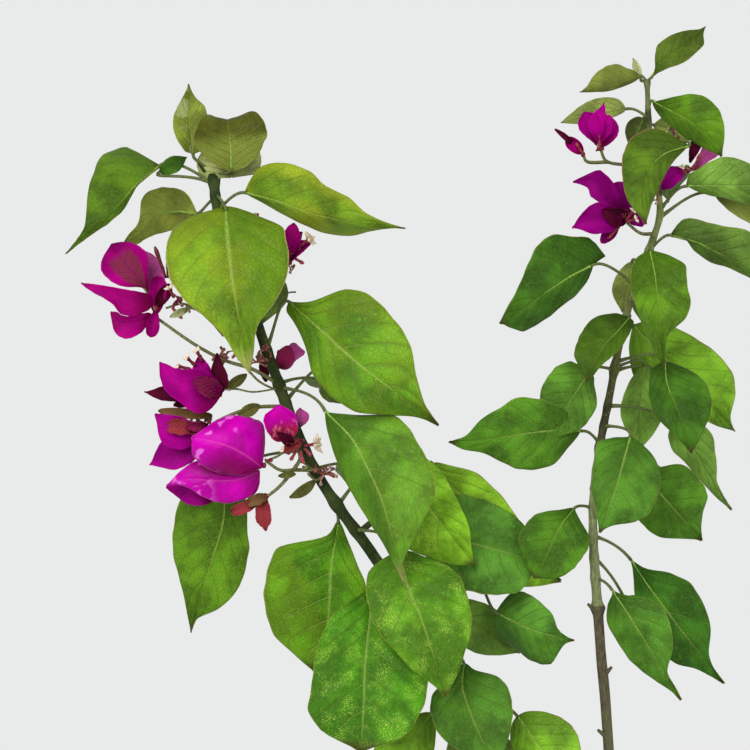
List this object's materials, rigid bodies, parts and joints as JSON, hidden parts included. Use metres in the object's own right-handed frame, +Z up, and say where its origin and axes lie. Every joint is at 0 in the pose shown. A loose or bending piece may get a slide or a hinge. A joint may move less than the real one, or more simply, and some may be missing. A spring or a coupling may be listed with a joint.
{
  "type": "potted bougainvillea",
  "caption": "Small bougainvillea in a plain terracotta pot: slender woody canes rise from a short trunk, with pointed green leaves and sprays of magenta bracts.",
  "frame": {"origin": "middle of the pot's flat underside", "axes": "+Z up, the plant's longest way; -Y the front, where both canes show side by side; +X to the right seen from the front"},
  "size_m": [0.3696, 0.2279, 0.6577],
  "materials": {
    "terracotta": "unglazed, matte",
    "compost": "loose, crumbly, dull",
    "bark": "dull, finely fissured",
    "bright_leaf": "soft sheen",
    "deep_leaf": "soft sheen",
    "bract": "papery"
  },
  "bodies": {
    "root": {"pot": "terracotta", "compost": "compost", "trunk": "bark", "left_bough": "bark", "right_bough": "bark", "left_foliage_low": "bright_leaf", "left_foliage_middle": "bright_leaf", "left_foliage_top": "bright_leaf", "right_foliage_low": "deep_leaf", "right_foliage_middle": "deep_leaf", "right_foliage_top": "deep_leaf", "low_foliage_1": "deep_leaf", "low_foliage_2": "deep_leaf", "low_foliage_3": "deep_leaf", "low_foliage_4": "deep_leaf", "low_foliage_5": "deep_leaf", "bracts_left_top": "bract", "bracts_left_high": "bract", "bracts_left_middle": "bract", "bracts_left_low": "bract", "bracts_left_behind": "bract", "bracts_right_top": "bract", "bracts_right_middle": "bract", "bracts_right_side": "bract"}
  },
  "joints": []
}
